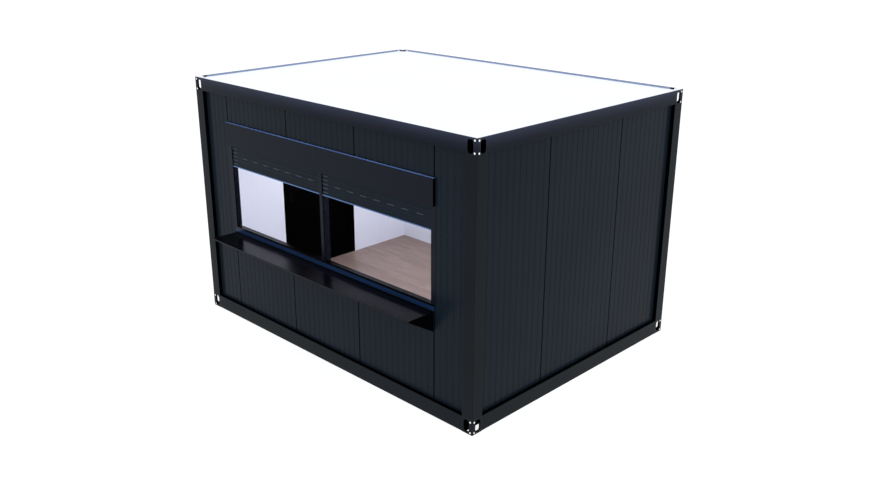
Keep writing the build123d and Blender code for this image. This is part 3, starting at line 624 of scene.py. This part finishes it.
def plate(bm, low, high, ease):
    """Adds a flat bar between two corners with its edges eased."""
    middle = (Vector(low) + Vector(high)) / 2
    size = Vector(high) - Vector(low)
    place = Matrix.Translation(middle) @ Matrix.Diagonal((*size, 1.0))
    made = bmesh.ops.create_cube(bm, size=1.0, matrix=place)
    edges = list({edge for vert in made["verts"] for edge in vert.link_edges})
    bmesh.ops.bevel(bm, geom=edges, offset=ease, segments=EDGE_STEPS, affect="EDGES")


# Bolt heads with a six-sided socket: (radius, height over the fitting's face, six-sided)
BOLT_HEAD = [(0.0086, -0.0015, False), (0.0087, -0.0006, False), (0.0080, 0.0, False),
             (0.0040, 0.0, True), (0.0037, -0.0011, True)]
BOLT_INSET = 0.026
BOLT_HEIGHTS = (("bottom", (0.0185, 0.1205)), ("top", (2.4765, 2.5785)))


def add_fitting_bolts():
    """Two bright button heads in each outer face of the eight corner fittings."""
    x, y = HALF_L - BOLT_INSET, HALF_W - BOLT_INSET
    for level, heights in BOLT_HEIGHTS:
        bm = bmesh.new()
        for sx in (-1, 1):
            for sy in (-1, 1):
                for z in heights:
                    turned(bm, (sx * x, sy * HALF_W, z), (0, sy, 0), BOLT_HEAD)
                    turned(bm, (sx * HALF_L, sy * y, z), (sx, 0, 0), BOLT_HEAD)
        add_piece(level + "_fitting_bolts", bm, BRIGHT_METAL)


# Beads pressed into the shutter slats, painted lighter as a highlight: (side, left end of the row,
# right end)
BEAD_ROWS = (("left", -1.463, -0.03), ("right", 0.022, 1.455))
SLATS = 5
FULL_SLAT = 2             # counted from the lowest, which is 0
FIRST_SLAT = 1.7465       # lower edge of the lowest slat
SLAT_PITCH = 0.0395
BEAD_RISE = 0.008         # of the bead's axis over its slat's lower edge
BEAD_Y = -1.4536          # of its axis, just behind the slat's front
BEAD_LENGTH = 0.080
BEAD_PITCH = 0.180
BEAD_RADIUS = 0.0016


def add_slat_beads():
    """A bead at the left end of each slat, and a whole row on the middle one."""
    for side, x0, x1 in BEAD_ROWS:
        bm = bmesh.new()
        for slat in range(SLATS):
            z = FIRST_SLAT + slat * SLAT_PITCH + BEAD_RISE
            count = int((x1 - x0) / BEAD_PITCH) + 1 if slat == FULL_SLAT else 1
            for k in range(count):
                rod(bm, (x0 + k * BEAD_PITCH, BEAD_Y, z), BEAD_LENGTH, BEAD_RADIUS)
        add_piece("slat_beads_" + side, bm, BEAD_HIGHLIGHT)


# The nose of a curtain's lower edge, in Y and Z, and (side, left end, right end) of each
BAR_NOSE = [(-1.4522, 1.7202), (-1.4572, 1.7202), (-1.4586, 1.7210), (-1.4590, 1.7226),
            (-1.4590, 1.7262), (-1.4586, 1.7276), (-1.4574, 1.7284), (-1.4542, 1.7286),
            (-1.4538, 1.7300), (-1.4522, 1.7300)]
BAR_ENDS = (("left", -1.462, -0.023), ("right", 0.023, 1.462))


def add_bar_edges():
    """The rounded aluminium nose along the lower edge of each curtain, tinted pale blue as a
    painted reflection of the sky.
    """
    for side, x0, x1 in BAR_ENDS:
        bm = bmesh.new()
        skin(bm, [[bm.verts.new((x, y, z)) for y, z in BAR_NOSE] for x in (x0, x1)])
        add_piece("curtain_edge_" + side, bm, NOSE_ALUMINIUM_SKY_GLINT)


# The shutter boxes' covers, with a pale blue strip along the top that is a painted reflection of
# the sky
COVER_HEIGHT = 0.005
COVER_BACK = WALL_FRONT - 0.0005   # just off the wall
COVER_ENDS = (("left", -BOX_HALF, -0.001), ("right", 0.001, BOX_HALF))
COVER_EASE = 0.0008
GLINT_STRIP_SHEET = 0.0008
GLINT_STRIP_INSET = 0.001
GLINT_STRIP_EASE = 0.0003


def add_box_covers():
    """A folded cover on each shutter box and a pale blue strip along its top, a painted reflection
    of the sky.
    """
    top = BOX_TOP + COVER_HEIGHT
    for side, x0, x1 in COVER_ENDS:
        bm = bmesh.new()
        plate(bm, (x0, BOX_FRONT, BOX_TOP), (x1, COVER_BACK, top), COVER_EASE)
        add_piece("box_cover_" + side, bm, SHUTTER_PAINT)
        bm = bmesh.new()
        low = (x0 + GLINT_STRIP_INSET, BOX_FRONT + GLINT_STRIP_INSET, top)
        high = (x1 - GLINT_STRIP_INSET, COVER_BACK, top + GLINT_STRIP_SHEET)
        plate(bm, low, high, GLINT_STRIP_EASE)
        add_piece("box_glint_strip_" + side, bm, SKY_GLINT_STRIP)


# Dark plates on the inner faces of the roof's upstands: X and Y of two corners of each
UPSTAND_MARK_FACES = (((-1.992, -1.405), (-1.9908, -1.360)), ((1.860, 1.4908), (1.905, 1.492)))
MARK_LOW, MARK_HIGH = 2.5825, 2.5985
MARK_EASE = 0.0003


def add_upstand_marks():
    """Dark plates on the upstands, at the front left and back right corners."""
    bm = bmesh.new()
    for low, high in UPSTAND_MARK_FACES:
        plate(bm, (*low, MARK_LOW), (*high, MARK_HIGH), MARK_EASE)
    add_piece("roof_upstand_marks", bm, SEAL_RUBBER)


# The seal stands on the stop of the door frame and just clears the leaf
STOP_FACE = -1.91
SEAL_DEPTH = 0.006
SEAL_MIDDLE = 0.471
SEAL_WIDTH = 0.008
SEAL_LOW, SEAL_HIGH = 0.154, 2.141
SEAL_EASE = 0.002


def add_door_seal():
    """A rubber seal round three sides of the doorway."""
    bm = bmesh.new()
    near, far = STOP_FACE - SEAL_DEPTH, STOP_FACE
    for side in (-1, 1):
        y0, y1 = side * SEAL_MIDDLE - SEAL_WIDTH / 2, side * SEAL_MIDDLE + SEAL_WIDTH / 2
        plate(bm, (near, y0, SEAL_LOW), (far, y1, SEAL_HIGH), SEAL_EASE)
    inner = SEAL_MIDDLE - SEAL_WIDTH / 2
    plate(bm, (near, -inner, SEAL_HIGH - SEAL_WIDTH), (far, inner, SEAL_HIGH), SEAL_EASE)
    add_piece("door_seal", bm, SEAL_RUBBER)


# Lock cylinders and screws in the two plates of the handle: turned rings as for the bolts
LOCK_Y, LOCK_Z = -0.409, 1.065
PLATE_FACES = ((-1.969, -1), (-1.913, 1))   # X of the plate's face, and which way it looks
CYLINDER = [(0.0086, 0.0, False), (0.0086, 0.0022, False), (0.0080, 0.0026, False)]
SCREW = [(0.0036, 0.0, False), (0.0034, 0.0008, False), (0.0018, 0.0011, False)]
PLATE_SCREW_HEIGHTS = (1.012, 1.205)
KEY_FROM, KEY_TO = 0.0026, 0.0030           # of the key slot, over the plate's face
KEY_HALF_WIDTH, KEY_HALF_HEIGHT = 0.0006, 0.0045
KEY_EASE = 0.0001


def add_lock():
    """The lock's two cylinders with their key slots, and two screws in each handle plate."""
    bm = bmesh.new()
    for face, out in PLATE_FACES:
        turned(bm, (face, LOCK_Y, LOCK_Z), (out, 0, 0), CYLINDER)
        near, far = sorted((face + out * KEY_FROM, face + out * KEY_TO))
        low = (near, LOCK_Y - KEY_HALF_WIDTH, LOCK_Z - KEY_HALF_HEIGHT)
        high = (far, LOCK_Y + KEY_HALF_WIDTH, LOCK_Z + KEY_HALF_HEIGHT)
        plate(bm, low, high, KEY_EASE)
        for z in PLATE_SCREW_HEIGHTS:
            turned(bm, (face, LOCK_Y, z), (out, 0, 0), SCREW)
    add_piece("lock_cylinders", bm, HANDLE_METAL, "door")


# Hinge plates: (name, X of the face, middle in Y, body, height over the hinge's middle)
HINGE_PLATES = (("fixed", -1.964, 0.4975, "container", -0.02),
                ("moving", -1.969, 0.4555, "door", 0.02))
HINGE_HEIGHTS = (0.42, 1.15, 1.9)
HINGE_SCREW_SHIFT = 0.009


def add_hinge_screws():
    """Two screws in each plate of the hinges."""
    for name, face, y, body, lift in HINGE_PLATES:
        bm = bmesh.new()
        for z in HINGE_HEIGHTS:
            for shift in (-HINGE_SCREW_SHIFT, HINGE_SCREW_SHIFT):
                turned(bm, (face, y, z + lift + shift), (-1, 0, 0), SCREW)
        add_piece("hinge_screws_" + name, bm, HANDLE_METAL, body)


# The photograph's viewpoint: angles in degrees, focal length in pixels of its width
CAMERA_PLACE = (6.536, -6.539, 4.184)
CAMERA_AZIMUTH, CAMERA_ELEVATION, CAMERA_ROLL = -44.634, -19.848, 0.126
FOCAL_PIXELS = 910.18
PHOTO_WIDTH = 872
SENSOR_WIDTH = 36.0
CLIP_NEAR, CLIP_FAR = 0.05, 400.0


def add_camera():
    """The camera at the photograph's viewpoint."""
    azimuth, elevation = math.radians(CAMERA_AZIMUTH), math.radians(CAMERA_ELEVATION)
    ahead = Vector((math.sin(azimuth) * math.cos(elevation),
                    math.cos(azimuth) * math.cos(elevation),
                    math.sin(elevation)))
    right = Vector((math.cos(azimuth), -math.sin(azimuth), 0.0))
    up = right.cross(ahead)
    data = bpy.data.cameras.new("camera")
    data.sensor_width = SENSOR_WIDTH
    data.lens = FOCAL_PIXELS * SENSOR_WIDTH / PHOTO_WIDTH
    data.clip_start, data.clip_end = CLIP_NEAR, CLIP_FAR
    camera = link("camera", data)
    turn = Matrix((right, up, -ahead)).transposed().to_4x4()
    roll = Matrix.Rotation(math.radians(CAMERA_ROLL), 4, "Z")
    camera.matrix_world = Matrix.Translation(CAMERA_PLACE) @ turn @ roll
    bpy.context.scene.camera = camera


# The sky's colours: (height, colour)
SKY = ((0.0, (0.97, 0.98, 1.0, 1.0)), (0.7, (0.88, 0.92, 1.0, 1.0)))
SKY_STRENGTH = 1.18
STUDIO_REACH = 90.0
STUDIO_LEVEL = -0.0005    # just below the container, so that the two don't share a plane
STUDIO_GLOW = 0.9
# (name, place, target, size, watts, colour)
LAMPS = (
    ("overhead", (0, 0, 9.0), (0, 0, 0), (14, 14), 120, (1.0, 0.99, 0.97)),
    ("front_left", (-6, -10, 5.0), (0, 0, 1.2), (6, 4), 30, (0.95, 0.97, 1.0)),
    ("room", (0, 0.1, 2.44), (0, 0.1, 0), (3.2, 2.2), 62, (0.95, 0.96, 1.0)),
)


def add_sky():
    """A pale sky that turns a little blue overhead."""
    world = bpy.data.worlds.new("studio")
    bpy.context.scene.world = world
    world.use_nodes = True
    tree = world.node_tree
    background = tree.nodes["Background"]
    coords = tree.nodes.new("ShaderNodeTexCoord")
    split = tree.nodes.new("ShaderNodeSeparateXYZ")
    ramp = tree.nodes.new("ShaderNodeValToRGB")
    tree.links.new(coords.outputs["Generated"], split.inputs[0])
    tree.links.new(split.outputs["Z"], ramp.inputs[0])
    tree.links.new(ramp.outputs["Color"], background.inputs["Color"])
    for element, (height, color) in zip(ramp.color_ramp.elements, SKY):
        element.position = height
        element.color = color
    background.inputs["Strength"].default_value = SKY_STRENGTH


def add_floor():
    """A plain pale floor."""
    mesh = bpy.data.meshes.new("studio_floor")
    signs = ((-1, -1), (1, -1), (1, 1), (-1, 1))
    corners = [(sx * STUDIO_REACH, sy * STUDIO_REACH, STUDIO_LEVEL) for sx, sy in signs]
    mesh.from_pydata(corners, [], [(0, 1, 2, 3)])
    floor = link("studio_floor", mesh)
    f = Finish("studio_floor", specular=0.0)
    tone = f.mix(f.drift(0.3, 2.0), rgb(116, 116, 117), rgb(120, 120, 121))
    f.bsdf.inputs["Emission Color"].default_value = WHITE
    f.bsdf.inputs["Emission Strength"].default_value = STUDIO_GLOW
    mesh.materials.append(f.use(tone, f.drift(8.0, 2.0, 0.85, 0.95)))


def add_lamps():
    """Soft lamps, seen neither directly nor in reflections."""
    for name, place, target, size, watts, color in LAMPS:
        data = bpy.data.lights.new(name, "AREA")
        data.shape = "RECTANGLE"
        data.size, data.size_y = size
        data.energy = watts
        data.color = color
        light = link(name, data)
        light.location = place
        ahead = Vector(target) - Vector(place)
        light.rotation_euler = ahead.to_track_quat("-Z", "Y").to_euler()
        light.visible_camera = False
        light.visible_glossy = False


bpy.context.scene.view_settings.view_transform = "Standard"
dress_nodes()
add_fitting_bolts()
add_slat_beads()
add_bar_edges()
add_box_covers()
add_upstand_marks()
add_door_seal()
add_lock()
add_hinge_screws()
add_camera()
add_sky()
add_floor()
add_lamps()
